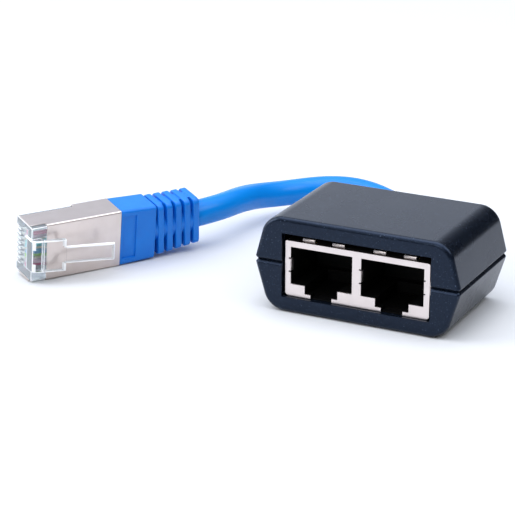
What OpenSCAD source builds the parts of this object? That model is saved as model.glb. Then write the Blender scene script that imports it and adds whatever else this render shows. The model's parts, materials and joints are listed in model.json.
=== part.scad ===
// Two-port network splitter adapter: a small two-shell housing with a pair of
// shielded jacks in its front, and a short shielded cable from its back to a plug.
// Millimetres, +Z up. The origin is on the base, half way between the jack's face and the back.
// -Y is the front with the jacks, +Y is the back where the cable leaves.

/* [Housing] */
// Room between the jack and the housing's side, at the parting line
side_room = 6.1; // [5.6:0.1:8]
// Room behind the jack for the cable's anchorage
rear_room = 8.9; // [8.3:0.1:12]
// How far the shells stand out in front of the jack's face
lip = 0.75; // [0.25:0.05:0.9]
// Height from the base to the flat top
body_h = 18.2; // [17.8:0.2:22]
// Height of the parting line between the two shells
part_z = 9.4; // [9.2:0.1:10]
// Thickness of the shell walls and floor
wall = 1.6; // [1.4:0.1:1.7]
// Radius of the long corners, seen from the front
corner_r = 4; // [3:0.5:5]
// Lean of the upper shell's sides, in degrees
lean_up = 15; // [10:1:17]
// Lean of the lower shell's sides, in degrees
lean_down = 17; // [10:1:18]
// Rounding of the edge round the front and back faces
edge_r = 0.9; // [0.4:0.1:1.2]
// Height of the V groove along the parting line
groove_h = 1.3; // [0.8:0.1:1.6]
// Depth of the V groove
groove_d = 0.5; // [0.3:0.1:0.6]

/* [Jack] */
// Width of a port opening
port_w = 12.2; // [12:0.1:12.4]
// Width of the shield's web between the two ports
port_gap = 1.77; // [1.5:0.01:2.2]
// Width of the shield's margin outside the ports
jack_side = 1.115; // [1.015:0.05:1.415]
// Height of a port opening above its latch notch
port_h = 7.15; // [7:0.05:7.3]
// Overall height of the shielded jack
jack_h = 10.7; // [10.5:0.1:11]
// Depth of the jack behind the front face
jack_d = 14.6; // [14.4:0.1:15]
// Thickness of the jack shield's sheet metal
sheet = 0.3; // [0.25:0.05:0.35]
// Width of the notch that passes the latch's shoulders
latch_w = 6.54; // [6.4:0.02:6.7]
// Width of the narrow notch below it
tab_w = 4.2; // [4.1:0.05:4.6]
// Spacing of the contacts in a port and in the plug
contact_pitch = 1.016; // [1:0.004:1.04]
// Width of a contact wire
contact_w = 0.46; // [0.4:0.02:0.48]

/* [Board and screws] */
// Thickness of the circuit board
board_t = 1.2; // [1:0.1:1.3]
// Height of the ribs that carry the board above the floor
board_lift = 0.2; // [0.2:0.1:0.4]
// Shaft diameter of the two housing screws
screw_d = 2; // [1.8:0.1:2.2]
// Head diameter of the housing screws
screw_head_d = 4; // [3.6:0.1:4.2]
// Length of a screw under its head
screw_l = 11; // [9:0.5:12]

/* [Cable] */
// Outer diameter of the cable
cable_d = 5.3; // [5:0.1:5.4]
// Diameter of one insulated conductor
wire_d = 0.9; // [0.7:0.05:0.95]
// How far the grommet stands out behind the housing
grommet_l = 4.2; // [3:0.2:5]

/* [Plug] */
// Width of the plug across its contacts
plug_w = 11.7; // [11.5:0.05:11.9]
// Thickness of the plug with its shield, without the latch
plug_t = 6.8; // [6.7:0.05:7]
// Length of clear nose in front of the shield's broad face
nose_l = 3.2; // [2.8:0.1:3.6]
// Length of the shield behind the nose
shield_l = 15.7; // [15:0.1:16.5]
// Thickness of the plug shield's sheet metal
plug_sheet = 0.25; // [0.2:0.05:0.3]
// Height of the latch's free end over the plug
latch_rise = 4.4; // [3.5:0.1:5]

/* [Boot] */
// Length of the boot's solid block
block_l = 7.7; // [7:0.1:9]
// Number of fins behind the block
fin_count = 5; // [3:1:6]
// Thickness of one fin at its edge
fin_t = 1.3; // [1:0.1:1.4]
// Distance from one fin to the next
fin_pitch = 1.95; // [1.8:0.05:2.2]
// Height of the last fin
fin_end_h = 9.9; // [9.4:0.1:10.5]
// Upward lean of the finned part, in degrees
fin_lean = 3.5; // [2:0.5:4]

/* [Hidden] */
$fn = 48;
// Clearance between parts that sit in each other
fit = 0.05;
// Overcut that lets a cut pass cleanly through a face
cut = 1;
ports = [-1, 1];
pins = [1:8];
SHARED_NODES = ["upper_shell", "lower_shell", "shell_screws", "circuit_board", "jack_shield",
    "jack_housing", "left_contact_block", "right_contact_block", "cable_grommet", "cable_tie",
    "cable", "plug_body", "plug_shield", "boot"];

// Overall size of the shielded jack and of the housing round it
port_pitch = port_w + port_gap;
jack_w = 2 * port_w + port_gap + 2 * jack_side;
body_w = jack_w + 2 * side_room;
body_d = jack_d + rear_room;
front_y = -body_d / 2;
shell_y = front_y - lip;
back_y = body_d / 2;
upper_h = body_h - part_z;

board_z = wall + board_lift;
board_top = board_z + board_t;
board_edge = 0.25;
jack_z = board_top + fit;
jack_top = jack_z + jack_h;
jack_back = front_y + jack_d;
// Sill of a port, then the floors of its two latch notches
port_z = jack_z + 2.4;
port_top = port_z + port_h;
latch_z = jack_z + 0.8;
tab_z = jack_z + 0.2;
// The window leaves a gap above the jack for its ground fingers
window_half = jack_w / 2 + 0.4;
window_top = jack_top + 1.45;
// Depth of a port behind the front face, up to its contact block
port_depth = 11.4;
// Front wall of a port that the plug's latch locks behind
lock_wall = 1.9;
insert_half = port_w / 2 - 0.2;
shelf_half = 4.6;
shelf_front = front_y + 3.4;
insert_y = front_y + port_depth + fit;
insert_back = jack_back - sheet - fit;
roof_z = jack_top - sheet - fit;
finger_w = 2.4;
finger_offset = 2.95;
// Height band of the side springs on the jack shield
spring_z = [port_z + port_h / 3, port_z + port_h * 0.69];
contact_t = 0.3;
contact_run_z = port_top + 0.4;
tail_y = [insert_y + 0.75, insert_y + 1.85];

boss_r = 2.4;
boss_x = 13.1;
boss_y = back_y - wall - boss_r - 0.25;
head_h = 1.5;
head_z = 0.5;
tongue_t = 0.7;
tongue_h = 1;

grommet_r = 4;
flange_r = 5.1;
flange_t = 1;
cable_bore_r = cable_d / 2 + 0.15;
tie_w = 1.8;
tie_t = 0.8;
tie_y = back_y - wall - flange_t - tie_w / 2 - 0.6;

// Centre line of the cable, from inside the housing to inside the plug
route = [[0, back_y - 5.75, part_z], [0, back_y + 0.25, part_z], [0, back_y + 6.25, part_z],
    [-0.5, 24.5, 7.5], [-2.5, 31, 5], [-5.5, 37, 3], [-10.5, 41.5, 2.5], [-16.5, 44, 3.5],
    [-22.5, 45, 5], [-29, 43.5, 5.5], [-34.5, 40.5, 5], [-38.5, 35.5, 5], [-41, 29.5, 6],
    [-41.5, 23, 7], [-42.5, 17.5, 7], [-44.5, 13, 7], [-47.5, 8.5, 6.5], [-50.5, 4, 6.5],
    [-53.5, -0.5, 6.25], [-56.5, -5.5, 6.25], [-59.5, -10, 6.25]];
jacket_end = route[0];
// The plug lies on one narrow side, leaning a little towards its latch
plug_pos = [-61.7, -18.1, 0];
plug_turn = [-7.5, 0, 237];
// Axes of the plug: x to the nose, y out of the latch side, z across the contacts
axis_y = -plug_t / 2;
axis_z = plug_w / 2;
jacket_x = -8;
core_r = 1.5;
// Half the width of the row of conductors, with a little room
row_half = 3.5 * contact_pitch + wire_d / 2 + 0.2;
body_back_x = -shield_l + 0.3;
block_back_x = -shield_l - block_l;
block_bore_r = cable_d / 2 + 0.15;
fin_bore_r = cable_d / 2 + 0.35;
row_y = -3.3;
row_step = 0.35;
slot_w = 0.5;
blade_t = 0.36;
// Opening in the shield over the contacts, which also steps down its narrow walls
contact_open_x = -shield_l / 2 - 0.3;
contact_open_t = 1.2;
// Folded end of the shield's sheet, on its broad face behind the opening
lap_t = 0.4;
lap_x = -shield_l + 2.8;
latch_half = 3.3;
latch_tab_half = 1.7;
latch_t = 0.85;
latch_root_y = 1.3;
latch_shoulder_x = -3;
latch_tip_x = -12.4;

// Points of an arc round c, from angle a0 to a1
function arc(c, r, a0, a1, n = 8) =
    [for (i = [0:n]) let (a = a0 + (a1 - a0) * i / n) c + r * [cos(a), sin(a)]];

// Half of the housing's outline seen from the front, from a little below the parting line up
function half_outline(h, lean, inset, below = 0) = let (
    half = body_w / 2 - inset / cos(lean),
    top = h - inset,
    r = max(corner_r - inset, 0.4),
    cx = half - top * tan(lean) - r * tan((90 - lean) / 2),
    side = arc([cx, top - r], r, lean, 90))
    concat([[half, -below]], side, [for (i = [len(side) - 1:-1:0]) [-side[i].x, side[i].y]],
        [[-half, -below]]);

// Rounded rectangle centred on the origin
function rounded(w, h, r) = concat(
    arc([w / 2 - r, h / 2 - r], r, 0, 90, 4), arc([-w / 2 + r, h / 2 - r], r, 90, 180, 4),
    arc([-w / 2 + r, -h / 2 + r], r, 180, 270, 4), arc([w / 2 - r, -h / 2 + r], r, 270, 360, 4));

// Outline of a port opening: the plug's window with two steps for its latch below
function port_outline() = let (
    right = [[tab_w / 2, tab_z], [tab_w / 2, latch_z], [latch_w / 2, latch_z],
        [latch_w / 2, port_z], [port_w / 2, port_z], [port_w / 2, port_top]])
    concat(right, [for (i = [len(right) - 1:-1:0]) [-right[i].x, right[i].y]]);

function unit(v) = v / norm(v);
function turned(v) = [-v.y, v.x];

// Outline of a strip of thickness t along a flat path, with mitred bends
function strip(path, t) = let (
    last = len(path) - 1,
    dirs = [for (i = [0:last - 1]) unit(path[i + 1] - path[i])],
    sides = [for (i = [0:last]) let (
        a = turned(dirs[max(i - 1, 0)]),
        b = turned(dirs[min(i, last - 1)]),
        m = unit(a + b)) m * t / 2 / (m * a)])
    concat([for (i = [0:last]) path[i] + sides[i]], [for (i = [last:-1:0]) path[i] - sides[i]]);

// Point at t, from 0 to 1, on the stretch of a smooth curve between guides b and c
function blend4(a, b, c, d, t) =
    (pow(1 - t, 3) * a + (3 * pow(t, 3) - 6 * t * t + 4) * b
    + (-3 * pow(t, 3) + 3 * t * t + 3 * t + 1) * c + pow(t, 3) * d) / 6;

// Smooth curve that starts at the first guide point and ends at the last
function smooth(guides, steps) = let (
    last = len(guides) - 1,
    g = concat([2 * guides[0] - guides[1]], guides, [2 * guides[last] - guides[last - 1]]))
    concat([for (i = [0:last - 1]) for (s = [0:steps - 1])
        blend4(g[i], g[i + 1], g[i + 2], g[i + 3], s / steps)], [guides[last]]);

// Box from its lowest corner to its highest
module block(lo, hi) {
    translate(lo) cube(hi - lo);
}

// Outline of (x, z) points, extruded from y0 to y1
module across(y0, y1) {
    translate([0, y1, 0]) rotate([90, 0, 0]) linear_extrude(y1 - y0) children();
}

// Outline of (y, z) points, extruded from x0 to x1
module along(x0, x1) {
    translate([x0, 0, 0]) rotate([90, 0, 90]) linear_extrude(x1 - x0) children();
}

// Outline of (x, y) points, extruded from z0 to z1
module upward(z0, z1) {
    translate([0, 0, z0]) linear_extrude(z1 - z0) children();
}

// Solid between rings of points, which all have the same number of points
module loft(rings) {
    n = len(rings[0]);
    last = len(rings) - 1;
    polyhedron(
        points = [for (r = rings) for (p = r) p],
        faces = concat([[for (k = [0:n - 1]) k]], [[for (k = [n - 1:-1:0]) last * n + k]],
            [for (i = [0:last - 1]) for (k = [0:n - 1]) for (half = [0, 1]) half == 0
                ? [i * n + k, (i + 1) * n + k, (i + 1) * n + (k + 1) % n]
                : [i * n + k, (i + 1) * n + (k + 1) % n, i * n + (k + 1) % n]]));
}

// Tube of n sides and diameter d along a path; ref is a direction the path never takes
module tube(path, d, n, ref) {
    last = len(path) - 1;
    loft([for (i = [0:last]) let (
        t = unit(path[min(i + 1, last)] - path[max(i - 1, 0)]),
        u = unit(cross(ref, t)),
        v = cross(t, u))
        [for (k = [0:n - 1]) path[i] + d / 2 * (cos(360 * k / n) * u + sin(360 * k / n) * v)]]);
}

// One shell as a solid, standing on the parting line, with rounded front and back edges
module shell_solid(h, lean) {
    turns = [[1, 90], [1, 60], [1, 30], [1, 0], [-1, 0], [-1, 30], [-1, 60], [-1, 90]];
    loft([for (t = turns) [for (p = half_outline(h, lean, edge_r * (1 - cos(t[1]))))
        [p.x, (t[0] > 0 ? back_y : shell_y) - t[0] * edge_r * (1 - sin(t[1])), p.y]]]);
}

// What is left inside the V groove, from the parting line up
module groove_core(h) {
    g = groove_h / 2;
    far = h + cut;
    intersection() {
        across(-body_d, body_d) polygon([[-body_w, far], [-body_w, g], [-body_w / 2, g],
            [-body_w / 2 + groove_d, 0], [body_w / 2 - groove_d, 0], [body_w / 2, g],
            [body_w, g], [body_w, far]]);
        along(-body_w, body_w) polygon([[-body_d, far], [-body_d, g], [shell_y, g],
            [shell_y + groove_d, 0], [back_y - groove_d, 0], [back_y, g],
            [body_d, g], [body_d, far]]);
    }
}

// Space inside a shell, at a given distance from its outer faces
module shell_space(h, lean, inset) {
    across(shell_y + inset, back_y - inset) polygon(half_outline(h, lean, inset, cut));
}

// Hollow shell standing on the parting line
module hollow_shell(h, lean) {
    difference() {
        intersection() {
            shell_solid(h, lean);
            groove_core(h);
        }
        shell_space(h, lean, wall);
    }
}

// Band along the inside of the wall, from the parting line up
module rim(outer, inner, h) {
    intersection() {
        difference() {
            shell_space(upper_h, lean_up, outer);
            shell_space(upper_h, lean_up, inner);
        }
        block([-body_w, -body_d, 0], [body_w, body_d, h]);
    }
}

// Openings in both shells: the jack's window and the round hole for the grommet
module shell_openings() {
    block([-window_half, shell_y - cut, board_top], [window_half, front_y + 2 * wall, window_top]);
    translate([0, back_y - 2 * wall, part_z]) rotate([-90, 0, 0])
        cylinder(r = grommet_r + fit, h = 3 * wall);
}

module upper_shell() color("#2b3340") {
    rib_y = front_y + jack_d / 2;
    difference() {
        translate([0, 0, part_z]) {
            hollow_shell(upper_h, lean_up);
            intersection() {
                shell_space(upper_h, lean_up, wall / 2);
                for (s = ports) {
                    translate([s * boss_x, boss_y, 0]) cylinder(r = boss_r, h = upper_h);
                    block([s * port_pitch / 2 - 1, rib_y, jack_top + fit - part_z],
                        [s * port_pitch / 2 + 1, rib_y + 4, upper_h]);
                }
            }
        }
        translate([0, 0, part_z]) rim(wall - tongue_t - fit, wall + fit, tongue_h + fit);
        shell_openings();
        for (s = ports) translate([s * boss_x, boss_y, part_z - cut])
            cylinder(d = screw_d + 2 * fit, h = head_z + head_h + screw_l + 0.5 - part_z + cut);
    }
}

module lower_shell() color("#2b3340") {
    rib_x = jack_w / 2 - 3;
    difference() {
        union() {
            translate([0, 0, part_z]) mirror([0, 0, 1]) {
                hollow_shell(part_z, lean_down);
                intersection() {
                    shell_space(part_z, lean_down, wall / 2);
                    for (s = ports) {
                        translate([s * boss_x, boss_y, fit]) cylinder(r = boss_r, h = part_z);
                        block([s * rib_x - 0.6, front_y, part_z - board_z],
                            [s * rib_x + 0.6, boss_y - boss_r - 0.4, part_z]);
                    }
                }
            }
            translate([0, 0, part_z]) rim(wall - tongue_t, wall, tongue_h);
        }
        shell_openings();
        for (s = ports) translate([s * boss_x, boss_y, -cut]) {
            cylinder(d = screw_head_d + 0.3, h = cut + head_z + head_h);
            cylinder(d = screw_d + 4 * fit, h = cut + part_z);
        }
    }
}

// Two pan-head screws, driven up from the base
module shell_screws() color("#8d9196") {
    blade = 0.5;
    for (s = ports) translate([s * boss_x, boss_y, head_z]) difference() {
        union() {
            cylinder(d = screw_head_d, h = head_h);
            translate([0, 0, head_h]) cylinder(d = screw_d, h = screw_l);
        }
        for (a = [0, 90]) rotate([0, 0, a])
            translate([-screw_head_d / 4, -blade / 2, -cut]) cube([screw_head_d / 2, blade, cut + 0.8]);
    }
}

// Where a contact's tail goes through the board, for pin k of the port on side s
function tail_spot(s, k) = [s * port_pitch / 2 + (k - 4.5) * contact_pitch, tail_y[k % 2]];

// Where conductor k goes through the board
function wire_spot(k) = [(k - 4.5) * 1.5, jack_back + (wire_side(k) > 0 ? 0.75 : 1.85)];

// Whether conductor k leaves the upper or the lower half of the jacket
function wire_side(k) = (k % 2 == 1) == (k <= 4) ? 1 : -1;

module circuit_board() color("#1f6b3f") {
    difference() {
        block([-jack_w / 2, front_y + wall + board_edge, board_z],
            [jack_w / 2, back_y - wall - board_edge, board_top]);
        for (s = ports) {
            translate([s * boss_x, boss_y, 0]) cylinder(r = boss_r + board_edge, h = board_top + cut);
            block([s * boss_x - boss_r - board_edge, boss_y, 0],
                [s * boss_x + boss_r + board_edge, back_y, board_top + cut]);
            for (k = pins) translate(tail_spot(s, k)) cylinder(r = contact_w * 0.75, h = board_top + cut);
        }
        for (k = pins) translate(wire_spot(k)) cylinder(r = wire_d / 2 + fit, h = board_top + cut);
    }
}

// Folded sheet-metal shield: front, roof, sides and back, open to the board
module jack_shield() color("#d9d6d8") {
    half = jack_w / 2;
    fold_r = 0.3;
    bevel = 0.5;
    shell_outline = concat([[half - bevel, jack_z], [half, jack_z + bevel]],
        arc([half - fold_r, jack_top - fold_r], fold_r, 0, 90, 3),
        arc([-half + fold_r, jack_top - fold_r], fold_r, 90, 180, 3),
        [[-half, jack_z + bevel], [-half + bevel, jack_z]]);
    notch = 0.3;
    difference() {
        across(front_y, jack_back) polygon(shell_outline);
        block([-half + sheet, front_y + sheet, jack_z - cut],
            [half - sheet, jack_back - sheet, jack_top - sheet]);
        for (s = ports) translate([s * port_pitch / 2, 0, 0]) {
            across(front_y - cut, front_y + 2 * sheet) polygon(port_outline());
            for (side = [-1, 1]) {
                for (z = spring_z) block([side * port_w / 2 - notch, front_y - cut, z - notch / 2],
                    [side * port_w / 2 + notch, front_y + 2 * sheet, z + notch / 2]);
                block([side * finger_offset - finger_w / 2 - 0.2, front_y - cut, jack_top - sheet - 0.1],
                    [side * finger_offset + finger_w / 2 + 0.2, front_y + 6.2, jack_top + cut]);
            }
        }
    }
    for (s = ports) {
        translate([s * port_pitch / 2, 0, 0]) for (side = [-1, 1]) {
            ground_finger(side * finger_offset);
            port_spring(side);
        }
        chassis_spring(s);
    }
}

// Springy strip that rises from the shield's front edge over its roof
module ground_finger(x) {
    path = [[front_y + sheet / 2, jack_top - 2 * sheet], [front_y + sheet / 2, jack_top + 0.3],
        [front_y + 1.1, jack_top + 0.65], [front_y + 5.9, jack_top - sheet / 2]];
    along(x - finger_w / 2, x + finger_w / 2) polygon(strip(path, sheet));
}

// Spring folded back from a port's side edge, which touches the plug's shield
module port_spring(side) {
    edge = side * port_w / 2;
    notch = 0.15;
    z0 = spring_z[0] + notch;
    z1 = spring_z[1] - notch;
    block([min(edge, edge - side * 0.25), front_y + fit, z0],
        [max(edge, edge - side * 0.25), front_y + 3.4, z1]);
    block([edge - 0.25, front_y + fit, z0], [edge + 0.25, front_y + sheet, z1]);
}

// Spring on the shield's outer side, which touches the metal round the window
module chassis_spring(s) {
    x = s * jack_w / 2;
    inner = x - s * sheet / 2;
    outer = x + s * 0.28;
    upward(spring_z[0], spring_z[1]) polygon([[inner, front_y + 0.1], [outer, front_y + 0.1],
        [outer, front_y + 1.2], [x, front_y + 4], [inner, front_y + 4]]);
}

// Black moulding with the two plug cavities
module jack_housing() color("#17181a") {
    half = jack_w / 2 - sheet - fit;
    difference() {
        block([-half, front_y + sheet + fit, jack_z], [half, insert_back, roof_z]);
        for (s = ports) translate([s * port_pitch / 2, 0, 0]) {
            across(front_y, front_y + lock_wall) polygon(port_outline());
            block([-port_w / 2 - fit, front_y, port_z], [port_w / 2 + fit, insert_y, port_top]);
            block([-latch_w / 2, front_y + lock_wall - fit, tab_z + 0.1],
                [latch_w / 2, front_y + port_depth - 1.2, port_z + fit]);
            block([-insert_half - fit, insert_y - fit, jack_z - cut],
                [insert_half + fit, insert_back + cut, roof_z + cut]);
            block([-shelf_half - fit, shelf_front - 1.3, port_top - fit],
                [shelf_half + fit, insert_back + cut, roof_z + cut]);
        }
    }
}

// Path of contact k seen from the side: tail, run under the roof, bend, spring tip
function contact_path(k) = [[tail_y[k % 2], board_z], [tail_y[k % 2], contact_run_z],
    [shelf_front - 0.5, contact_run_z], [shelf_front - 0.85, contact_run_z - 0.35],
    [shelf_front - 0.45, contact_run_z - 0.75], [front_y + 9.6, port_top - 2.3],
    [front_y + 10.2, port_top - 2.25]];

// Insert that holds the eight contacts of the port on side s
module contact_block(s) color("#202124") {
    slack = 0.16;
    translate([s * port_pitch / 2, 0, 0]) difference() {
        union() {
            block([-insert_half, insert_y, jack_z], [insert_half, insert_back, roof_z]);
            block([-shelf_half, shelf_front, port_top], [shelf_half, insert_y + cut, roof_z]);
        }
        for (k = pins) {
            x = (k - 4.5) * contact_pitch;
            along(x - (contact_w + slack) / 2, x + (contact_w + slack) / 2)
                polygon(strip(contact_path(k), contact_t + slack));
            block([x - (contact_w + slack) / 2, tail_y[k % 2] - (contact_t + slack) / 2, jack_z - cut],
                [x + (contact_w + slack) / 2, tail_y[k % 2] + (contact_t + slack) / 2, jack_z + cut]);
        }
    }
}

// Gold-plated spring wire k of the port on side s
module jack_contact(s, k) color("#c9a13b") {
    x = s * port_pitch / 2 + (k - 4.5) * contact_pitch;
    along(x - contact_w / 2, x + contact_w / 2) polygon(strip(contact_path(k), contact_t));
}

// Soft bushing that seals and carries the cable in the back wall
module cable_grommet() color("#1d2024") {
    inside = -wall - flange_t;
    translate([0, back_y, part_z]) rotate([-90, 0, 0]) rotate_extrude() polygon([
        [cable_bore_r, inside], [flange_r, inside], [flange_r, -wall - fit], [grommet_r, -wall - fit],
        [grommet_r, fit], [grommet_r + 0.8, fit], [grommet_r + 0.8, 1], [grommet_r + 0.3, 1.3],
        [grommet_r - 0.1, grommet_l / 2], [grommet_r - 0.5, grommet_l / 2 + 0.3],
        [grommet_r - 0.4, grommet_l - 0.2], [grommet_r - 0.6, grommet_l],
        [cable_bore_r + 0.25, grommet_l], [cable_bore_r, grommet_l - 1.3]]);
}

// Tie pulled tight on the jacket, which keeps the cable from being pulled out
module cable_tie() color("#d8d8d2") {
    inner = cable_d / 2 + fit / 2;
    translate([0, tie_y, part_z]) rotate([-90, 0, 0]) rotate_extrude()
        translate([inner, -tie_w / 2]) square([tie_t, tie_w]);
    difference() {
        block([-1.9, tie_y - tie_w / 2 - 0.3, part_z],
            [1.9, tie_y + tie_w / 2 + 0.3, part_z + inner + 2.2]);
        translate([0, tie_y - 2 * tie_w, part_z]) rotate([-90, 0, 0])
            cylinder(r = inner + tie_t / 2, h = 4 * tie_w);
        block([-4, tie_y - 2 * tie_w, part_z - cut], [4, tie_y + 2 * tie_w, part_z + inner - 0.3]);
    }
}

module cable() color("#1f6fd6") {
    tube(smooth(route, 1), cable_d, 12, [0, 0, 1]);
}

// Places its children in the plug's axes
module plug_frame() {
    translate(plug_pos) rotate(plug_turn) children();
}

function pin_z(k) = axis_z + (k - 4.5) * contact_pitch;
function pin_row(k) = row_y + (k % 2 == 1 ? -row_step : row_step);
// Place of conductor k in the jacket: how far across, and how far to its side
function core_spot(k) = let (a = 22.5 + 45 * floor((k - 1) / 2)) core_r * [-cos(a), sin(a)];

// Clear moulding with contact slots, wire pocket and latch
module plug_body() color("#d6ecf2", 0.6) plug_frame() {
    skin = plug_sheet + fit;
    pocket_t = 2 * (row_step + wire_d / 2 + 0.05);
    difference() {
        union() {
            block([body_back_x, -plug_t + skin, skin], [0, -skin, plug_w - skin]);
            block([0, -plug_t + skin, skin], [nose_l, 0, plug_w - skin]);
            latch();
        }
        block([body_back_x - cut, axis_y - cable_d / 2 - 0.1, axis_z - row_half],
            [jacket_x + 0.1, axis_y + cable_d / 2 + 0.1, axis_z + row_half]);
        block([jacket_x, axis_y - core_r - 0.5, axis_z - row_half - 0.2],
            [jacket_x + 4.1, axis_y + core_r + 0.5, axis_z + row_half + 0.2]);
        block([jacket_x + 4, row_y - pocket_t / 2, axis_z - row_half],
            [nose_l - 1, row_y + pocket_t / 2, axis_z + row_half]);
        for (k = pins) {
            block([-1.3, -plug_t - cut, pin_z(k) - slot_w / 2],
                [nose_l - 1, row_y - pocket_t / 2 + 0.1, pin_z(k) + slot_w / 2]);
            block([-1.3, -plug_t - cut, pin_z(k) - slot_w / 2],
                [nose_l + cut, -plug_t + 2, pin_z(k) + slot_w / 2]);
        }
    }
}

// Springy latch: a broad root on the nose, two shoulders, and a narrow finger tab
module latch() {
    front = nose_l + 0.3;
    slope = (latch_rise - latch_root_y) / (nose_l - 1 - latch_tip_x);
    shoulder_y = latch_root_y + slope * (nose_l - 1 - latch_shoulder_x);
    upward(axis_z - latch_half, axis_z + latch_half) polygon([
        [front, -2.4], [front, 0.2], [front - 0.2, 0.75], [front - 0.7, 1.15], [nose_l - 1, latch_root_y],
        [latch_shoulder_x, shoulder_y], [latch_shoulder_x, shoulder_y - latch_t],
        [0.9, latch_root_y + slope * (nose_l - 1.9) - latch_t], [1.2, 0.2], [1.2, -1],
        [nose_l - 0.1, -2.4]]);
    tab_root = [latch_shoulder_x + 1, shoulder_y - slope];
    upward(axis_z - latch_tab_half, axis_z + latch_tab_half) polygon([
        tab_root - [0, latch_t - 0.05], tab_root - [0, 0.1], [latch_tip_x + 0.3, latch_rise],
        [latch_tip_x, latch_rise - 0.3], [latch_tip_x, latch_rise - latch_t + 0.1]]);
}

// Folded shield round the plug, open at the nose and over the contacts
module plug_shield() color("#c9c4bc") plug_frame() {
    fold_r = 0.35;
    difference() {
        translate([0, axis_y, axis_z]) along(-shield_l, nose_l) polygon(rounded(plug_t, plug_w, fold_r));
        translate([0, axis_y, axis_z]) along(-shield_l - cut, nose_l + cut)
            polygon(rounded(plug_t - 2 * plug_sheet, plug_w - 2 * plug_sheet, 0.1));
        block([0, -1, -cut], [nose_l + cut, cut, plug_w + cut]);
        block([contact_open_x, -plug_t - cut, -cut],
            [nose_l + cut, -plug_t + contact_open_t, plug_w + cut]);
    }
    block([-shield_l, -plug_t - lap_t, 0.5], [lap_x, -plug_t + 0.1, plug_w - 0.5]);
}

// Gold-plated blade k, which bites its conductor
module plug_contact(k) color("#d8b24a") plug_frame() {
    tip = pin_row(k) - wire_d / 2 - 0.02;
    crown = -plug_t + 0.35;
    z = pin_z(k);
    upward(z - blade_t / 2, z + blade_t / 2) polygon([[-1.1, tip], [-1.1, crown + 0.3], [-0.8, crown],
        [1.2, crown], [1.7, crown + 0.2], [1.9, crown + 0.7], [1.9, tip - 0.5], [1.4, tip],
        [0.9, tip - 0.5], [0.4, tip], [-0.1, tip - 0.5], [-0.6, tip]]);
}

// End of conductor k in the plug: from the jacket into its place in the row
module plug_wire(k) plug_frame() {
    spot = core_spot(k);
    y0 = axis_y + (k % 2 == 1 ? -1 : 1) * spot.y;
    z0 = axis_z + spot.x;
    tube(smooth([[jacket_x + 0.02, y0, z0], [jacket_x + 0.4, y0, z0], [jacket_x + 0.8, y0, z0],
        [jacket_x + 1.9, (y0 + pin_row(k)) / 2, (z0 + pin_z(k)) / 2],
        [jacket_x + 3, pin_row(k), pin_z(k)], [jacket_x + 4, pin_row(k), pin_z(k)],
        [nose_l - 1.1, pin_row(k), pin_z(k)]], 2), wire_d, 8, [0, 0, 1]);
}

// End of conductor k in the housing: from the jacket down through the board
module board_wire(k) {
    spot = core_spot(k);
    x1 = wire_spot(k).x;
    y1 = wire_spot(k).y;
    z0 = jacket_end.z + wire_side(k) * spot.y;
    tube(smooth([[spot.x, jacket_end.y - 0.02, z0], [spot.x, jacket_end.y - 0.35, z0],
        [spot.x, jacket_end.y - 0.7, z0], [0.6 * spot.x + 0.4 * x1, y1 + 0.4, z0 - 0.5],
        [x1, y1, z0 - 2.4], [x1, y1, 4.2], [x1, y1, board_z + 0.2]], 1), wire_d, 8, [1, 0, 0]);
}

// Moulded strain relief: a solid block behind the shield, then fins joined by two webs
module boot() color("#2272d8") plug_frame() {
    block_end_h = plug_w - 0.6;
    fins_l = fin_count * fin_pitch;
    frame_x = -shield_l - 0.5;
    difference() {
        union() {
            translate([0, axis_y, axis_z]) loft([
                standing(block_back_x, plug_t - 0.4, block_end_h - 0.4, 0.4),
                standing(block_back_x + 0.2, plug_t, block_end_h, 0.6),
                standing(-shield_l - fit, plug_t, plug_w, 0.6)]);
            translate([block_back_x, axis_y, axis_z]) rotate([0, fin_lean, 0]) {
                for (i = [1:fin_count])
                    fin(-i * fin_pitch, block_end_h + (fin_end_h - block_end_h) * i / fin_count);
                for (turn = [0, 180]) rotate([turn, 0, 0])
                    block([-fins_l + fin_t / 2, -1.3, cable_d / 2], [0.6, 1.3, fin_end_h / 2 - 0.15]);
            }
        }
        translate([cut - shield_l, axis_y, axis_z]) rotate([0, -90, 0])
            cylinder(r = block_bore_r, h = block_l + cut);
        translate([block_back_x, axis_y, axis_z]) rotate([0, fin_lean - 90, 0]) translate([0, 0, -1])
            cylinder(r = fin_bore_r, h = fins_l + 2 * cut);
        block([frame_x - 2.9, -0.35, 1.4], [frame_x, cut, plug_w - 1.4]);
    }
}

// Ring of points round a rounded rectangle that stands across the x axis
function standing(x, w, h, r) = [for (p = rounded(w, h, r)) [x, p.x, p.y]];

// One fin with softened edges
module fin(x, h) {
    w = plug_t - 0.2;
    soft = 0.25;
    loft([standing(x, w - 2 * soft, h - 2 * soft, 0.5), standing(x + soft, w, h, 0.7),
        standing(x + fin_t - soft, w, h, 0.7), standing(x + fin_t, w - 2 * soft, h - 2 * soft, 0.5)]);
}

upper_shell();
lower_shell();
shell_screws();
circuit_board();
jack_shield();
jack_housing();
contact_block(-1);  // left_contact_block
contact_block(1);  // right_contact_block
cable_grommet();
cable_tie();
cable();
plug_body();
plug_shield();
boot();
for (k = pins) {
    jack_contact(-1, k);
    jack_contact(1, k);
    plug_contact(k);
    plug_wire(k);
    board_wire(k);
}
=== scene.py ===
# %% [markdown]
# # A network splitter adapter
# This lesson dresses a small adapter: a dark moulded housing with two shielded jacks in its
# front, and a short blue cable from its back to a shielded plug with a clear latch.
# The solids come packed from the workshop as a fixed frame. We load them first and keep the
# size of their box, because nothing that we add may stand outside it.

# %% Load the frame
import json
import math

import bmesh
import bpy
from mathutils import Matrix, Vector

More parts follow.
